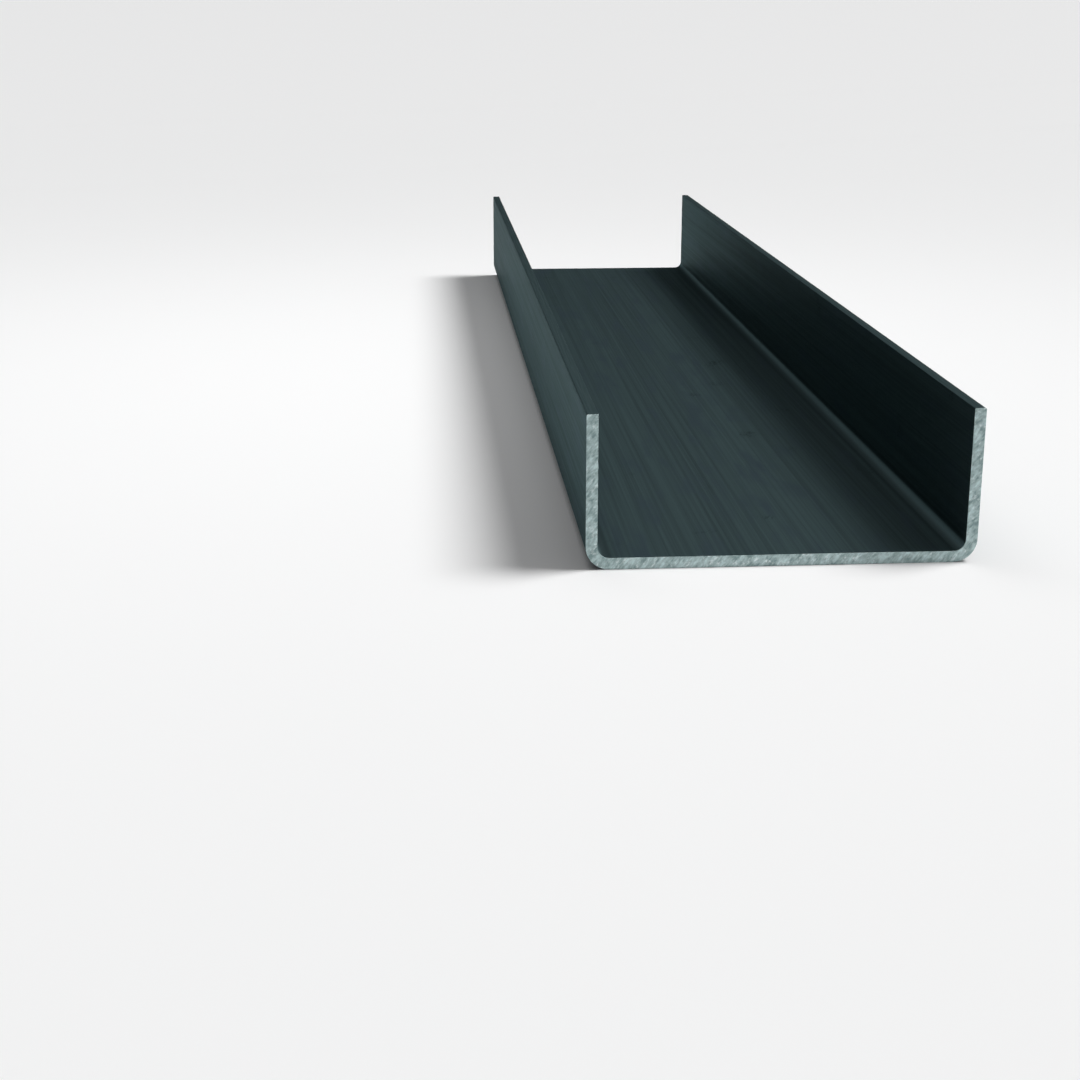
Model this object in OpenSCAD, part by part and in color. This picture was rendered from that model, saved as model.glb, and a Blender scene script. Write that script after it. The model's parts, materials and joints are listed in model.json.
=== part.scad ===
// Cold-formed steel channel: one flat strip bent twice into a U and sawn to length.
// It lies on its web with both flanges up. X runs across the web, Y along the stock, Z up.
// The origin is on the underside of the web, half way along and half way across.

/* [Section] */
// Overall width, across the backs of the two flanges
web_w = 100; // [50:1:300]
// Overall height of a flange, from the underside of the web to the toe
flange_h = 40; // [25:1:100]
// Thickness of the strip
strip_t = 3; // [1.5:0.05:6]
// Radius on the inside of each bend
bend_r = 3; // [1:0.25:12]

/* [Toes] */
// Radius that the slitting shears roll over on the back edge of each toe
toe_r = 0.4; // [0.1:0.05:0.8]

/* [Stock] */
// Length between the two saw cuts
stock_l = 500; // [100:10:6000]

/* [Hidden] */
// The outside of a bend shares its centre with the inside
back_r = bend_r + strip_t;
// Clear width between the inside faces of the flanges
clear_w = web_w - 2 * strip_t;
// Facets of a full circle, where a curve is drawn as a polygon
$fn = 96;

// Outline of a trough that is open at the top: a rectangle with its two lower corners rounded
module trough_outline(width, height, corner_r) {
    translate([-width / 2, corner_r])
        square([width, height - corner_r]);
    translate([-width / 2 + corner_r, 0])
        square([width - 2 * corner_r, corner_r]);
    for (side = [-1, 1])
        translate([side * (width / 2 - corner_r), corner_r])
            circle(r = corner_r);
}

// What the shears take off the back edge of the right-hand toe
module toe_rollover() {
    translate([web_w / 2 - toe_r, flange_h - toe_r])
        difference() {
            square(2 * toe_r);
            circle(r = toe_r);
        }
}

// The strip's section after bending: the same thickness in the web, the bends and the flanges
module section() {
    difference() {
        trough_outline(web_w, flange_h, back_r);
        translate([0, strip_t])
            trough_outline(clear_w, flange_h, bend_r);
        toe_rollover();
        mirror([1, 0])
            toe_rollover();
    }
}

// The channel: its section along the whole length, square at both saw cuts
module channel() {
    color("#2b3537")
        rotate([90, 0, 0])
            linear_extrude(height = stock_l, center = true)
                section();
}

channel();
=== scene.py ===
"""A cold-formed steel channel as it comes from the saw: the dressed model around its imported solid."""

import json
import math

import bmesh
import bpy
from bpy.props import FloatProperty, FloatVectorProperty, IntProperty, PointerProperty
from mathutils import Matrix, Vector


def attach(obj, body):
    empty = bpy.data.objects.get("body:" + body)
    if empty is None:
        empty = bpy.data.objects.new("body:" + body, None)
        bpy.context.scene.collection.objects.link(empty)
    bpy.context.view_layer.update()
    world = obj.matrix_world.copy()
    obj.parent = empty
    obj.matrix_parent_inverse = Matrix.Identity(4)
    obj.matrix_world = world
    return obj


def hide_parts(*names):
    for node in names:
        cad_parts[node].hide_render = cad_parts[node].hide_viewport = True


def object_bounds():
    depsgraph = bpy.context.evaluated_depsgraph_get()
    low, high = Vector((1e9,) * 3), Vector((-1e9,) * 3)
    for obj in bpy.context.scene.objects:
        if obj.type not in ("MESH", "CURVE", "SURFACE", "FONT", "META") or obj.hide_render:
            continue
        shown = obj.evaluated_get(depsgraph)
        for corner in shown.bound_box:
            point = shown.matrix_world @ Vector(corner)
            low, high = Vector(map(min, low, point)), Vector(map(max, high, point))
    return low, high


bl_info = {
    "name": "Steel Channel",
    "version": (1, 0, 0),
    "blender": (4, 5, 0),
    "location": "View3D > Sidebar > Channel",
    "description": "Builds a cold-formed steel channel with mill scale, slit toes and sawn ends",
    "category": "Object",
}

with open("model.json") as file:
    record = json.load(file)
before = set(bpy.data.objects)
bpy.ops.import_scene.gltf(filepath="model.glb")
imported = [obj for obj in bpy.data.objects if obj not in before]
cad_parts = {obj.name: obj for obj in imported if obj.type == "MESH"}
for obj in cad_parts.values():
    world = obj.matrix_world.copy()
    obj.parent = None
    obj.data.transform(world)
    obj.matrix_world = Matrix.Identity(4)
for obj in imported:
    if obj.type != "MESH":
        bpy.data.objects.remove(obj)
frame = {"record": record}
CAD_LOW, CAD_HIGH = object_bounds()
CAD_SIZE = CAD_HIGH - CAD_LOW
MIDDLE = (CAD_LOW.x + CAD_HIGH.x) / 2
MOUNTS = {mount["name"]: Vector(mount["pos_m"]) for mount in frame["record"]["mounts"]}

MM = 0.001


def linear(hex_colour):
    """An sRGB colour such as #2b3537 as three linear numbers, by the standard curve."""
    parts = [int(hex_colour[place : place + 2], 16) / 255 for place in (1, 3, 5)]
    return tuple(p / 12.92 if p <= 0.04045 else ((p + 0.055) / 1.055) ** 2.4 for p in parts)


def opaque(colour):
    """A colour with the fourth number that a colour socket takes."""
    return (*colour, 1.0)


# What a user would change

class ChannelSizes(bpy.types.PropertyGroup):
    """Sizes of the strip, its bends and its edges. The solid gives the width, height and length"""

    thickness: FloatProperty(
        name="Strip Thickness",
        description="Thickness of the strip in the web, the bends and the flanges",
        default=MOUNTS["web_inside"].z - MOUNTS["web_back"].z,
        unit="LENGTH",
    )
    bend_radius: FloatProperty(
        name="Bend Radius",
        description="Radius on the inside of each bend",
        default=3 * MM,
        unit="LENGTH",
    )
    bend_steps: IntProperty(
        name="Bend Steps",
        description="Flats that draw the round of one bend",
        default=20,
        min=4,
    )
    toe_radius: FloatProperty(
        name="Toe Rollover",
        description="Radius that the slitting shears roll over on the back edge of each toe",
        default=0.4 * MM,
        unit="LENGTH",
    )
    burr_radius: FloatProperty(
        name="Burr Radius",
        description="Radius left on the inner edge of each toe once its burr is rubbed off",
        default=0.2 * MM,
        unit="LENGTH",
    )
    sawn_radius: FloatProperty(
        name="Sawn Edge Radius",
        description="Radius of the edges round each sawn end",
        default=0.12 * MM,
        unit="LENGTH",
    )
    edge_steps: IntProperty(
        name="Edge Steps",
        description="Flats that draw the round of one edge",
        default=4,
        min=2,
    )


class ChannelFinish(bpy.types.PropertyGroup):
    """Colours of the three surfaces of the channel"""

    # Also the painted shade on the inside of each bend, either side of its painted highlight
    scale_dark_and_bend_shade: FloatVectorProperty(
        name="Scale, Dark",
        description="Mill scale in the troughs of the rolling lines",
        subtype="COLOR",
        default=linear("#3f4d4f"),
    )
    scale_light: FloatVectorProperty(
        name="Scale, Light",
        description="Mill scale on the crests of the rolling lines",
        subtype="COLOR",
        default=linear("#4f6163"),
    )
    scale_blue: FloatVectorProperty(
        name="Scale, Blue",
        description="Blooms where the scale is thinner and looks blue",
        subtype="COLOR",
        default=linear("#48565f"),
    )
    # Painted highlight: a lighter colour down the inside of each bend, in place of light that the bend
    # catches
    painted_bend_highlight: FloatVectorProperty(
        name="Scale, Burnished",
        description="Scale that the forming rolls rubbed thin on the inside of a bend",
        subtype="COLOR",
        default=linear("#7a9396"),
    )
    scale_edge: FloatVectorProperty(
        name="Scale, Low Angle",
        description="Share of the light that the scale still mirrors at a low angle",
        subtype="COLOR",
        default=linear("#b7c5c6"),
    )
    slit_dark: FloatVectorProperty(
        name="Slit Edge, Dark",
        description="Broken part of the slit edge",
        subtype="COLOR",
        default=linear("#425254"),
    )
    slit_light: FloatVectorProperty(
        name="Slit Edge, Light",
        description="Burnished part of the slit edge",
        subtype="COLOR",
        default=linear("#556668"),
    )
    sawn_dark: FloatVectorProperty(
        name="Sawn Steel, Dark",
        description="Bare steel in the troughs of the saw marks",
        subtype="COLOR",
        default=linear("#809595"),
    )
    sawn_light: FloatVectorProperty(
        name="Sawn Steel, Light",
        description="Bare steel on the crests of the saw marks",
        subtype="COLOR",
        default=linear("#cde0e0"),
    )
    # Torn grains, painted near white as glints: painted highlight on top of the real specks
    sawn_speck_and_glint: FloatVectorProperty(
        name="Sawn Steel, Speck",
        description="Torn grains of bare steel that glint",
        subtype="COLOR",
        default=linear("#f0f8f8"),
    )


class StudioSettings(bpy.types.PropertyGroup):
    """Camera, room and floor"""

    lens: FloatProperty(
        name="Lens",
        description="Focal length, in millimetres on a frame 36 mm wide",
        unit="CAMERA",
        default=60.14,
    )
    eye: FloatVectorProperty(
        name="Camera Place",
        description="Where the camera stands",
        subtype="TRANSLATION",
        unit="LENGTH",
        default=(-0.0918, -0.6798, 0.1383),
    )
    pitch: FloatProperty(
        name="Camera Pitch",
        description="How far the camera looks down",
        subtype="ANGLE",
        default=math.radians(16.81),
    )
    yaw: FloatProperty(
        name="Camera Yaw",
        description="How far the camera turns from the length of the stock towards +X",
        subtype="ANGLE",
        default=math.radians(4.04),
    )
    floor_colour: FloatVectorProperty(
        name="Floor",
        description="Colour of the pale floor",
        subtype="COLOR",
        default=linear("#f7f7f7"),
    )
    room_low: FloatVectorProperty(
        name="Room, Low",
        description="Colour of the dim walls of the room",
        subtype="COLOR",
        default=linear("#1d262f"),
    )
    room_high: FloatVectorProperty(
        name="Room, High",
        description="Colour of the upper room",
        subtype="COLOR",
        default=linear("#7f7f7f"),
    )
    skirting: FloatVectorProperty(
        name="Skirting",
        description="Colour of the pale skirting along the horizon, which carries the floor on",
        subtype="COLOR",
        default=linear("#e9e9e9"),
    )


# Materials

# Sockets of a Mix node that mixes colours, which share their names with its other sockets
MIX_FACTOR, MIX_FIRST, MIX_SECOND, MIX_RESULT = 0, 6, 7, 2


def add(tree, kind, inputs=None, out=0, **settings):
    """Adds a node and gives back one of its outputs.
    An input given a socket is linked, and any other is set."""
    node = tree.nodes.new(kind)
    for name, value in settings.items():
        setattr(node, name, value)
    for name, value in (inputs or {}).items():
        if isinstance(value, bpy.types.NodeSocket):
            tree.links.new(value, node.inputs[name])
        else:
            node.inputs[name].default_value = value
    return node.outputs[out] if node.outputs else None


def start_material(name):
    """A new material, its node tree, and the place on the piece that its patterns read."""
    material = bpy.data.materials.new(name)
    material.use_nodes = True
    tree = material.node_tree
    tree.nodes.clear()
    return material, tree, add(tree, "ShaderNodeTexCoord", out="Object")


def end_material(tree, inputs):
    """Gives a material its shader, with these inputs, as its surface."""
    surface = add(tree, "ShaderNodeBsdfPrincipled", inputs)
    add(tree, "ShaderNodeOutputMaterial", {"Surface": surface})


# Marks of rolling, each as the width of a mark and its run along the strip. The real lines are finer
# than these, and are drawn this wide so that they still show from the camera.
ROLLING_BANDS = 8 * MM, 400 * MM
ROLLING_LINES = 0.8 * MM, 260 * MM
BLUE_BLOOMS = 5 * MM, 30 * MM
# Finer marks within each mark: how often its size halves, and the share that each halving keeps
ROLLING_DETAIL, ROLLING_KEPT = 4.0, 0.6
# How much more the fine lines count than the broad bands, and how far both reach from their middle
LINE_WEIGHT, ROLLING_REACH = 1.6, 0.22
# Noise over which a bloom fades in, and the most that it hides of the skin
BLOOM_FADE, BLOOM_COVER = (0.5, 0.72), 0.7
# Roughness of the skin, how far crests lie below it and troughs above it, and how much a bloom would
# take off if it hid the skin altogether
SKIN_ROUGHNESS, ROUGHNESS_SPREAD, BLOOM_POLISH = 0.55, 0.022, 0.04
# How high the lines stand, and how strongly that shows
SCALE_RELIEF, SCALE_RELIEF_SHARE = 0.03 * MM, 0.6
# The painted highlight down the inside of a bend, with painted shade either side of it: the heights
# over which the highlight starts and stops, and how far off the bend its surface blends into the skin,
# all as shares of the bend's radius
PAINTED_HIGHLIGHT_STARTS, PAINTED_HIGHLIGHT_STOPS, BEND_BLEND = (0.06, 0.5), (0.8, 0.56), 0.04
# Scuffs from handling: the patches in which they gather, the width and run of one scratch, its turn
# about each axis, and how often the size of a mark halves in finer marks
SCUFF_PATCH = 16 * MM
SCRATCH_WIDTH, SCRATCH_RUN = 0.5 * MM, 6 * MM
SCRATCH_TURN = (math.radians(38),) * 3
SCUFF_DETAIL = 1.0
# Noise over which a patch and a scratch fade in, and how much a scratch turns the skin to its colour
PATCH_FADE, SCRATCH_FADE, SCRATCH_SHARE = (0.69, 0.76), (0.48, 0.62), 0.45
SCRATCH_COLOUR = 0.0, 0.0, 0.0


def mill_scale(finish, sizes):
    """Mill scale on hot-rolled strip: a thin, hard, blue-black oxide that the rolls leave satin.
    The eye gets a dark skin with a broad teal sheen, fine lines along the strip, a painted highlight
    down each inner bend with painted shade either side of it, faint bluish blooms where the oxide is
    thin, and a few scuffs from handling."""
    material, tree, place = start_material("mill_scale_steel")
    marks = []
    for width, run in (ROLLING_BANDS, ROLLING_LINES, BLUE_BLOOMS):
        drawn_out = add(tree, "ShaderNodeMapping", {"Vector": place, "Scale": (1, width / run, 1)})
        marks.append(add(
            tree, "ShaderNodeTexNoise",
            {
                "Vector": drawn_out,
                "Scale": 1 / width,
                "Detail": ROLLING_DETAIL,
                "Roughness": ROLLING_KEPT,
            },
        ))
    bands, lines, blooms = marks
    rolling = add(
        tree, "ShaderNodeMath",
        {0: lines, 1: LINE_WEIGHT, 2: bands},
        operation="MULTIPLY_ADD",
    )
    middle = (1 + LINE_WEIGHT) / 2
    level = add(
        tree, "ShaderNodeMapRange",
        {
            "Value": rolling,
            "From Min": middle * (1 - ROLLING_REACH),
            "From Max": middle * (1 + ROLLING_REACH),
        },
    )
    rolled = add(
        tree, "ShaderNodeMix",
        {
            MIX_FACTOR: level,
            MIX_FIRST: opaque(finish.scale_dark_and_bend_shade),
            MIX_SECOND: opaque(finish.scale_light),
        },
        out=MIX_RESULT, data_type="RGBA",
    )
    blue = add(
        tree, "ShaderNodeMapRange",
        {"Value": blooms, "From Min": BLOOM_FADE[0], "From Max": BLOOM_FADE[1], "To Max": BLOOM_COVER},
    )
    bloomed = add(
        tree, "ShaderNodeMix",
        {MIX_FACTOR: blue, MIX_FIRST: rolled, MIX_SECOND: opaque(finish.scale_blue)},
        out=MIX_RESULT, data_type="RGBA",
    )

    # Scratches show only inside the patches, and darken the skin
    patch = add(
        tree, "ShaderNodeTexNoise",
        {"Vector": place, "Scale": 1 / SCUFF_PATCH, "Detail": SCUFF_DETAIL},
    )
    inside = add(
        tree, "ShaderNodeMapRange",
        {"Value": patch, "From Min": PATCH_FADE[0], "From Max": PATCH_FADE[1]},
    )
    turned = add(tree, "ShaderNodeMapping", {"Vector": place, "Rotation": SCRATCH_TURN})
    thin = add(
        tree, "ShaderNodeMapping",
        {"Vector": turned, "Scale": (1, SCRATCH_WIDTH / SCRATCH_RUN, 1)},
    )
    scratch = add(
        tree, "ShaderNodeTexNoise",
        {"Vector": thin, "Scale": 1 / SCRATCH_WIDTH, "Detail": SCUFF_DETAIL},
    )
    cut = add(
        tree, "ShaderNodeMapRange",
        {
            "Value": scratch,
            "From Min": SCRATCH_FADE[0],
            "From Max": SCRATCH_FADE[1],
            "To Max": SCRATCH_SHARE,
        },
    )
    scuffs = add(tree, "ShaderNodeMath", {0: inside, 1: cut}, operation="MULTIPLY")
    scuffed = add(
        tree, "ShaderNodeMix",
        {MIX_FACTOR: scuffs, MIX_FIRST: bloomed, MIX_SECOND: opaque(SCRATCH_COLOUR)},
        out=MIX_RESULT, data_type="RGBA",
    )

    # The inside of a bend lies one bend radius from its axis, and every other face lies further off.
    # A line about half-way up it gets a lighter colour, which is painted highlight, and the rest of it
    # the darker trough colour, which is painted shade.
    back_radius = sizes.bend_radius + sizes.thickness
    axis = CAD_SIZE.x / 2 - back_radius, 0, back_radius
    both_sides = add(tree, "ShaderNodeVectorMath", {0: place}, operation="ABSOLUTE")
    section = add(tree, "ShaderNodeVectorMath", {0: both_sides, 1: (1, 0, 1)}, operation="MULTIPLY")
    off_axis = add(
        tree, "ShaderNodeVectorMath",
        {0: section, 1: axis},
        out="Value", operation="DISTANCE",
    )
    in_bend = add(
        tree, "ShaderNodeMapRange",
        {
            "Value": off_axis,
            "From Min": sizes.bend_radius * (1 + BEND_BLEND),
            "From Max": sizes.bend_radius,
        },
        interpolation_type="SMOOTHSTEP",
    )
    height = add(tree, "ShaderNodeSeparateXYZ", {0: place}, out="Z")
    rise, fall = (
        add(
            tree, "ShaderNodeMapRange",
            {
                "Value": height,
                "From Min": sizes.thickness + low * sizes.bend_radius,
                "From Max": sizes.thickness + high * sizes.bend_radius,
            },
            interpolation_type="SMOOTHSTEP",
        )
        for low, high in (PAINTED_HIGHLIGHT_STARTS, PAINTED_HIGHLIGHT_STOPS)
    )
    # Painted highlight: a lighter line half-way up each inner bend, and painted shade on the rest of
    # the bend
    painted_highlight = add(tree, "ShaderNodeMath", {0: rise, 1: fall}, operation="MULTIPLY")
    bend = add(
        tree, "ShaderNodeMix",
        {
            MIX_FACTOR: painted_highlight,
            MIX_FIRST: opaque(finish.scale_dark_and_bend_shade),
            MIX_SECOND: opaque(finish.painted_bend_highlight),
        },
        out=MIX_RESULT, data_type="RGBA",
    )
    colour = add(
        tree, "ShaderNodeMix",
        {MIX_FACTOR: in_bend, MIX_FIRST: scuffed, MIX_SECOND: bend},
        out=MIX_RESULT, data_type="RGBA",
    )
    satin = add(
        tree, "ShaderNodeMapRange",
        {
            "Value": level,
            "To Min": SKIN_ROUGHNESS + ROUGHNESS_SPREAD,
            "To Max": SKIN_ROUGHNESS - ROUGHNESS_SPREAD,
        },
    )
    rough = add(
        tree, "ShaderNodeMath",
        {0: blue, 1: -BLOOM_POLISH, 2: satin},
        operation="MULTIPLY_ADD",
    )
    relief = add(
        tree, "ShaderNodeBump",
        {"Height": rolling, "Strength": SCALE_RELIEF_SHARE, "Distance": SCALE_RELIEF},
    )
    end_material(tree, {
        "Base Color": colour,
        "Roughness": rough,
        "Normal": relief,
        "Metallic": 1.0,
        "Specular Tint": opaque(finish.scale_edge),
    })
    return material


# Marks of the slitting shears: the width and run of one along the toe, how often its size halves in
# finer marks, the noise from its trough to its crest, and the roughness of both
SHEAR_WIDTH, SHEAR_RUN = 0.5 * MM, 25 * MM
SHEAR_DETAIL = 3.0
SHEAR_SPAN = 0.3, 0.7
SHEAR_ROUGHNESS = 0.56, 0.46
# How high the marks stand, and how strongly that shows
SHEAR_RELIEF, SHEAR_RELIEF_SHARE = 0.03 * MM, 0.5


def slit_edge(finish):
    """Edge of the strip from the slitting shears: cut steel that has dulled. The eye gets a flat band
    that is lighter than the scale, with burnished lines along it."""
    material, tree, place = start_material("slit_edge_steel")
    drawn_out = add(
        tree, "ShaderNodeMapping",
        {"Vector": place, "Scale": (1, SHEAR_WIDTH / SHEAR_RUN, 1)},
    )
    grain = add(
        tree, "ShaderNodeTexNoise",
        {"Vector": drawn_out, "Scale": 1 / SHEAR_WIDTH, "Detail": SHEAR_DETAIL},
    )
    level = add(
        tree, "ShaderNodeMapRange",
        {"Value": grain, "From Min": SHEAR_SPAN[0], "From Max": SHEAR_SPAN[1]},
    )
    colour = add(
        tree, "ShaderNodeMix",
        {
            MIX_FACTOR: level,
            MIX_FIRST: opaque(finish.slit_dark),
            MIX_SECOND: opaque(finish.slit_light),
        },
        out=MIX_RESULT, data_type="RGBA",
    )
    rough = add(
        tree, "ShaderNodeMapRange",
        {"Value": level, "To Min": SHEAR_ROUGHNESS[0], "To Max": SHEAR_ROUGHNESS[1]},
    )
    relief = add(
        tree, "ShaderNodeBump",
        {"Height": grain, "Strength": SHEAR_RELIEF_SHARE, "Distance": SHEAR_RELIEF},
    )
    end_material(tree, {
        "Base Color": colour,
        "Roughness": rough,
        "Normal": relief,
        "Metallic": 1.0,
        "Specular Tint": opaque(finish.scale_edge),
    })
    return material


# Saw marks, each as its width and its run along the slant: strokes of the teeth, patches in which the
# blade bit alike, and torn specks whose near-white colour is a painted glint. Real strokes are about
# half this wide, and are drawn coarser so that they show from the camera.
SAW_STROKES = 0.5 * MM, 1.3 * MM
SAW_PATCHES = 1.3 * MM, 2.4 * MM
SAW_SPECKS = 0.8 * MM, 1.2 * MM
STROKE_SLANT = math.radians(50)
# How often the size of a mark halves in finer marks
SAW_DETAIL = 4.0
# How much the strokes count beside the patches, and how far both reach from their middle
STROKE_WEIGHT, SAW_REACH = 0.6, 0.26
# Noise over which a speck and its painted glint fade in, and the most that it hides of the other marks
SPECK_FADE, SPECK_COVER = (0.58, 0.74), 0.7
# Noise from the smoothest patch to the roughest, and the roughness of both
PATCH_SPAN, PATCH_ROUGHNESS = (0.3, 0.7), (0.42, 0.58)
# How high the strokes stand, and how strongly that shows
SAW_RELIEF, SAW_RELIEF_SHARE = 0.05 * MM, 0.4


def sawn_steel(finish):
    """Steel fresh from the saw: bare bright metal, torn into short slanted strokes by the teeth.
    The eye gets a pale grey face that is mottled in patches, with near-white specks painted on as
    glints."""
    material, tree, place = start_material("saw_cut_steel")
    turned = add(tree, "ShaderNodeMapping", {"Vector": place, "Rotation": (0, STROKE_SLANT, 0)})
    marks = []
    for width, run in (SAW_STROKES, SAW_PATCHES, SAW_SPECKS):
        drawn_out = add(tree, "ShaderNodeMapping", {"Vector": turned, "Scale": (width / run, 1, 1)})
        marks.append(add(
            tree, "ShaderNodeTexNoise",
            {"Vector": drawn_out, "Scale": 1 / width, "Detail": SAW_DETAIL},
        ))
    strokes, patches, specks = marks
    both = add(
        tree, "ShaderNodeMath",
        {0: strokes, 1: STROKE_WEIGHT, 2: patches},
        operation="MULTIPLY_ADD",
    )
    middle = (1 + STROKE_WEIGHT) / 2
    level = add(
        tree, "ShaderNodeMapRange",
        {
            "Value": both,
            "From Min": middle * (1 - SAW_REACH),
            "From Max": middle * (1 + SAW_REACH),
        },
    )
    torn = add(
        tree, "ShaderNodeMix",
        {
            MIX_FACTOR: level,
            MIX_FIRST: opaque(finish.sawn_dark),
            MIX_SECOND: opaque(finish.sawn_light),
        },
        out=MIX_RESULT, data_type="RGBA",
    )
    # Painted glint: the specks turn near white, brighter than the bare steel round them
    glint = add(
        tree, "ShaderNodeMapRange",
        {"Value": specks, "From Min": SPECK_FADE[0], "From Max": SPECK_FADE[1], "To Max": SPECK_COVER},
    )
    colour = add(
        tree, "ShaderNodeMix",
        {MIX_FACTOR: glint, MIX_FIRST: torn, MIX_SECOND: opaque(finish.sawn_speck_and_glint)},
        out=MIX_RESULT, data_type="RGBA",
    )
    rough = add(
        tree, "ShaderNodeMapRange",
        {
            "Value": patches,
            "From Min": PATCH_SPAN[0],
            "From Max": PATCH_SPAN[1],
            "To Min": PATCH_ROUGHNESS[0],
            "To Max": PATCH_ROUGHNESS[1],
        },
    )
    relief = add(
        tree, "ShaderNodeBump",
        {"Height": strokes, "Strength": SAW_RELIEF_SHARE, "Distance": SAW_RELIEF},
    )
    end_material(tree, {"Base Color": colour, "Roughness": rough, "Normal": relief, "Metallic": 1.0})
    return material


# The channel

MILL_SCALE, SLIT_EDGE, SAWN_STEEL = range(3)
# How nearly a face has to look along the stock to be the flat of an end
END_FACING = 0.9
# How nearly a face has to look along the stock, or up at a toe, to be finished as a cut
CUT_FACING = 0.5


def round_edges(bm, edges, radius, steps):
    """Rounds these edges to a radius, in a number of flats."""
    bmesh.ops.bevel(
        bm,
        geom=edges,
        offset=radius,
        offset_type="OFFSET",
        segments=steps,
        profile=0.5,
        affect="EDGES",
        clamp_overlap=False,
        material=-1,
    )


def toe_edges(bm, sizes, behind):
    """The long edges at the top of the flanges: the two at their backs, or the two on the inside."""
    wall = CAD_SIZE.x / 2 - sizes.thickness / 2
    found = []
    for edge in bm.edges:
        first, second = (v.co for v in edge.verts)
        at_top = min(first.z, second.z) > CAD_HIGH.z - sizes.toe_radius / 2
        lengthwise = abs(second.y - first.y) > CAD_SIZE.y / 2
        if at_top and lengthwise and (abs(first.x - MIDDLE) > wall) == behind:
            found.append(edge)
    return found


def bend_strip(sizes):
    """The channel as a closed mesh: the line of its back is drawn along the stock, bent and thickened,
    and then every edge gets the round that the real one has."""
    bm = bmesh.new()
    left, near, bottom = CAD_LOW
    right, _, top = CAD_HIGH
    back_line = ((left, top), (left, bottom), (right, bottom), (right, top))
    points = [bm.verts.new((x, near, z)) for x, z in back_line]
    line = [bm.edges.new(pair) for pair in zip(points, points[1:])]
    drawn = bmesh.ops.extrude_edge_only(bm, edges=line)["geom"]
    far_points = [v for v in drawn if isinstance(v, bmesh.types.BMVert)]
    bmesh.ops.translate(bm, verts=far_points, vec=(0, CAD_SIZE.y, 0))

    bends = [e for e in bm.edges if len(e.link_faces) == 2]
    round_edges(bm, bends, sizes.bend_radius + sizes.thickness, sizes.bend_steps)

    # All faces look out of the trough, so that the thickness goes inwards
    bmesh.ops.recalc_face_normals(bm, faces=bm.faces)
    lowest = min(bm.faces, key=lambda face: face.calc_center_median().z)
    lowest.normal_update()
    if lowest.normal.z > 0:
        bmesh.ops.reverse_faces(bm, faces=bm.faces)
    bmesh.ops.solidify(bm, geom=bm.faces[:], thickness=sizes.thickness)
    bmesh.ops.recalc_face_normals(bm, faces=bm.faces)

    round_edges(bm, toe_edges(bm, sizes, behind=True), sizes.toe_radius, sizes.edge_steps)
    round_edges(bm, toe_edges(bm, sizes, behind=False), sizes.burr_radius, sizes.edge_steps)
    bm.normal_update()
    rims = [e for e in bm.edges if sum(abs(f.normal.y) > END_FACING for f in e.link_faces) == 1]
    round_edges(bm, rims, sizes.sawn_radius, sizes.edge_steps)
    bmesh.ops.recalc_face_normals(bm, faces=bm.faces)
    return bm


def finish_faces(bm, sizes):
    """Gives each face its surface: sawn ends, slit toes, and mill scale on the rest."""
    bm.normal_update()
    toe_low = CAD_HIGH.z - sizes.toe_radius
    for face in bm.faces:
        face.smooth = True
        if abs(face.normal.y) > CUT_FACING:
            face.material_index = SAWN_STEEL
        elif face.normal.z > CUT_FACING and face.calc_center_median().z > toe_low:
            face.material_index = SLIT_EDGE
        else:
            face.material_index = MILL_SCALE


# The map for baked textures: the unrolled strip below, and the two sawn ends above it at a larger
# scale, the near one in the left half and the far one in the right
BAKE_MAP = "OFBake"
STRIP_SHARE = 0.78
HALF_MAP = 0.5
MAP_GAP = 0.01


def unrolled(point, sizes):
    """Where a point lay on the flat strip.
    The first number is how far right of the web's middle, and the second how deep below the back."""
    back_radius = sizes.bend_radius + sizes.thickness
    flat = CAD_SIZE.x / 2 - back_radius
    x, z = point.x - MIDDLE, point.z - CAD_LOW.z
    beyond, below = abs(x) - flat, back_radius - z
    if beyond <= 0:
        across, depth = abs(x), z
    elif below <= 0:
        across, depth = flat + back_radius * math.pi / 2 - below, CAD_SIZE.x / 2 - abs(x)
    else:
        across = flat + back_radius * math.atan2(beyond, below)
        depth = back_radius - math.hypot(beyond, below)
    return math.copysign(across, x), depth


def lay_out_map(bm, sizes):
    """Unrolls the faces into the map, once round the section from the left toe.
    The two ends go above them."""
    layer = bm.loops.layers.uv.new(BAKE_MAP)
    half, _ = unrolled(CAD_HIGH, sizes)
    girth = 4 * half + 2 * sizes.thickness
    end_width = HALF_MAP - 2 * MAP_GAP
    end_height = 1 - STRIP_SHARE - 2 * MAP_GAP
    for face in bm.faces:
        places = [unrolled(loop.vert.co, sizes) for loop in face.loops]
        inside = sum(depth for _, depth in places) / len(places) > sizes.thickness / 2
        for loop, (across, depth) in zip(face.loops, places):
            corner = loop.vert.co - CAD_LOW
            if face.material_index == SLIT_EDGE:
                round_by = 2 * half + depth if across > 0 else girth - depth
            elif inside:
                round_by = 3 * half + sizes.thickness - across
            else:
                round_by = half + across
            place = round_by / girth, STRIP_SHARE * corner.y / CAD_SIZE.y
            if face.material_index == SAWN_STEEL:
                far = face.normal.y > 0
                from_left = corner.x / CAD_SIZE.x
                place = (
                    HALF_MAP * far + MAP_GAP + end_width * (1 - from_left if far else from_left),
                    STRIP_SHARE + MAP_GAP + end_height * corner.z / CAD_SIZE.z,
                )
            loop[layer].uv = place


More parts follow.
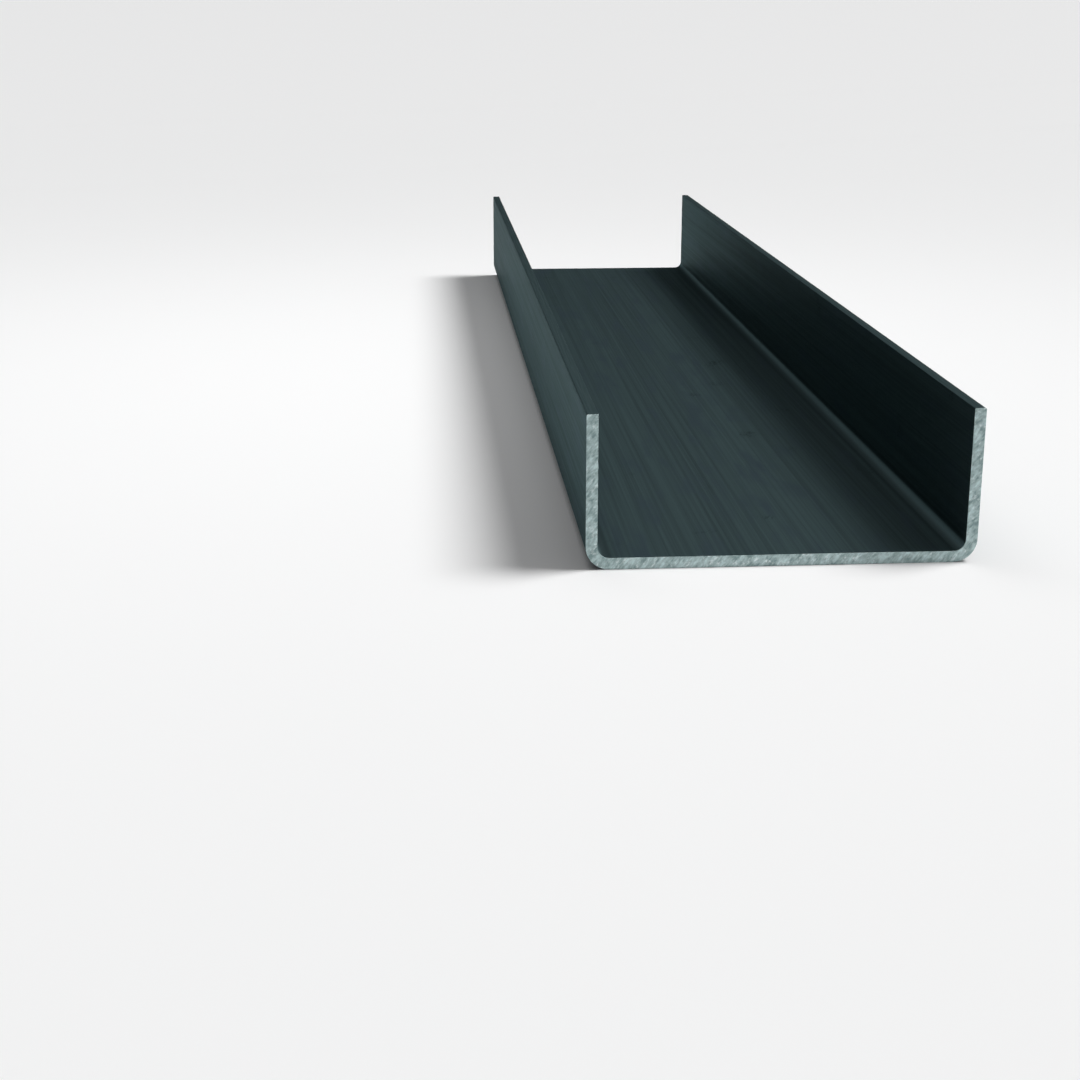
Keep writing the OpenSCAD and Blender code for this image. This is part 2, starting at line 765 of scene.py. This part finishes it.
class CHANNEL_OT_make_channel(bpy.types.Operator):
    """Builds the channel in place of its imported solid"""

    bl_idname = "channel.make_channel"
    bl_label = "Make Channel"

    def execute(self, context):
        sizes = context.scene.channel_sizes
        finish = context.scene.channel_finish
        bm = bend_strip(sizes)
        finish_faces(bm, sizes)
        lay_out_map(bm, sizes)
        mesh = bpy.data.meshes.new("steel_channel")
        bm.to_mesh(mesh)
        bm.free()
        for material in (mill_scale(finish, sizes), slit_edge(finish), sawn_steel(finish)):
            mesh.materials.append(material)
        channel = bpy.data.objects.new("steel_channel", mesh)
        context.scene.collection.objects.link(channel)
        # The large flats keep their own direction, and only the rounds blend
        channel.modifiers.new("Flat faces stay flat", "WEIGHTED_NORMAL")
        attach(channel, "root")
        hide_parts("channel")
        return {"FINISHED"}


# The stage

# Half the width of the floor in metres, so far that its edge lies on the horizon
FLOOR_REACH = 120.0
FLOOR_ROUGHNESS = 0.9
# The overhead light: the way it travels, how wide it looks, and its share of the light on a white floor
SKY_WAY, SKY_WIDTH, SKY_SHARE = (-0.68, -0.1, -1.0), math.radians(27), 0.735
# A softbox over the part: where it stands, what it looks at, its width, and how bright its face is
SOFTBOX_PLACE, SOFTBOX_TARGET = (-0.086, 0.031, 0.459), (0.0, -0.1, 0.0)
SOFTBOX_WIDTH, SOFTBOX_LEVEL = 0.306, 1.48
# Heights over which the dim walls turn into the upper room, as the sine of the angle above the horizon
ROOM_FROM, ROOM_TO = 0.21, 0.71
# Heights over which the skirting turns into the dim walls
SKIRT_FROM, SKIRT_TO = 0.035, 0.06


class CHANNEL_OT_make_stage(bpy.types.Operator):
    """Sets the floor, the lamps, the room and the camera"""

    bl_idname = "channel.make_stage"
    bl_label = "Make Stage"

    def execute(self, context):
        scene = context.scene
        studio = scene.channel_studio

        bm = bmesh.new()
        bmesh.ops.create_grid(bm, x_segments=1, y_segments=1, size=FLOOR_REACH)
        bmesh.ops.translate(bm, verts=bm.verts, vec=(0, 0, CAD_LOW.z))
        mesh = bpy.data.meshes.new("floor")
        bm.to_mesh(mesh)
        bm.free()
        # Matt white board: the eye gets an even pale ground that keeps the shadow
        pale_floor, tree, _ = start_material("pale_floor")
        end_material(tree, {"Base Color": opaque(studio.floor_colour), "Roughness": FLOOR_ROUGHNESS})
        mesh.materials.append(pale_floor)
        floor = bpy.data.objects.new("floor", mesh)
        scene.collection.objects.link(floor)

        sky = bpy.data.lights.new("sky", "SUN")
        sky_way = Vector(SKY_WAY).normalized()
        sky.angle = SKY_WIDTH
        sky.energy = SKY_SHARE * math.pi / -sky_way.z
        softbox = bpy.data.lights.new("softbox", "AREA")
        softbox.size = SOFTBOX_WIDTH
        softbox.energy = SOFTBOX_LEVEL * math.pi * SOFTBOX_WIDTH**2
        softbox_way = Vector(SOFTBOX_TARGET) - Vector(SOFTBOX_PLACE)
        for light, way in ((sky, sky_way), (softbox, softbox_way)):
            lamp = bpy.data.objects.new(light.name, light)
            lamp.location = SOFTBOX_PLACE
            lamp.rotation_euler = way.to_track_quat("-Z", "Y").to_euler()
            lamp.visible_camera = False
            scene.collection.objects.link(lamp)

        world = bpy.data.worlds.new("room")
        world.use_nodes = True
        tree = world.node_tree
        tree.nodes.clear()
        way_up = add(tree, "ShaderNodeSeparateXYZ", {0: add(tree, "ShaderNodeTexCoord")}, out="Z")
        colour = opaque(studio.room_low)
        for other, start, stop in (
            (studio.room_high, ROOM_FROM, ROOM_TO),
            (studio.skirting, SKIRT_TO, SKIRT_FROM),
        ):
            share = add(
                tree, "ShaderNodeMapRange",
                {"Value": way_up, "From Min": start, "From Max": stop},
                interpolation_type="SMOOTHSTEP",
            )
            colour = add(
                tree, "ShaderNodeMix",
                {MIX_FACTOR: share, MIX_FIRST: colour, MIX_SECOND: opaque(other)},
                out=MIX_RESULT, data_type="RGBA",
            )
        glow = add(tree, "ShaderNodeBackground", {"Color": colour})
        add(tree, "ShaderNodeOutputWorld", {"Surface": glow})
        scene.world = world

        camera = bpy.data.objects.new("camera", bpy.data.cameras.new("camera"))
        camera.data.lens = studio.lens
        camera.data.clip_end = 2 * FLOOR_REACH
        camera.location = studio.eye
        camera.rotation_euler = (math.pi / 2 - studio.pitch, 0, -studio.yaw)
        scene.collection.objects.link(camera)
        scene.camera = camera
        scene.view_settings.view_transform = "Standard"
        return {"FINISHED"}


class CHANNEL_PT_sidebar(bpy.types.Panel):
    """Sizes, colours and steps of the channel"""

    bl_label = "Steel Channel"
    bl_space_type = "VIEW_3D"
    bl_region_type = "UI"
    bl_category = "Channel"

    def draw(self, context):
        scene = context.scene
        for settings in (scene.channel_sizes, scene.channel_finish, scene.channel_studio):
            column = self.layout.column()
            for name in settings.__annotations__:
                column.prop(settings, name)
        self.layout.operator(CHANNEL_OT_make_channel.bl_idname)
        self.layout.operator(CHANNEL_OT_make_stage.bl_idname)


GROUPS = {
    "channel_sizes": ChannelSizes,
    "channel_finish": ChannelFinish,
    "channel_studio": StudioSettings,
}
TOOLS = (CHANNEL_OT_make_channel, CHANNEL_OT_make_stage, CHANNEL_PT_sidebar)


def register():
    for name, group in GROUPS.items():
        bpy.utils.register_class(group)
        setattr(bpy.types.Scene, name, PointerProperty(type=group))
    for tool in TOOLS:
        bpy.utils.register_class(tool)


def unregister():
    for tool in reversed(TOOLS):
        bpy.utils.unregister_class(tool)
    for name, group in reversed(GROUPS.items()):
        delattr(bpy.types.Scene, name)
        bpy.utils.unregister_class(group)


def main():
    """Registers the tools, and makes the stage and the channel."""
    register()
    bpy.ops.channel.make_stage()
    bpy.ops.channel.make_channel()


if __name__ == "__main__":
    main()
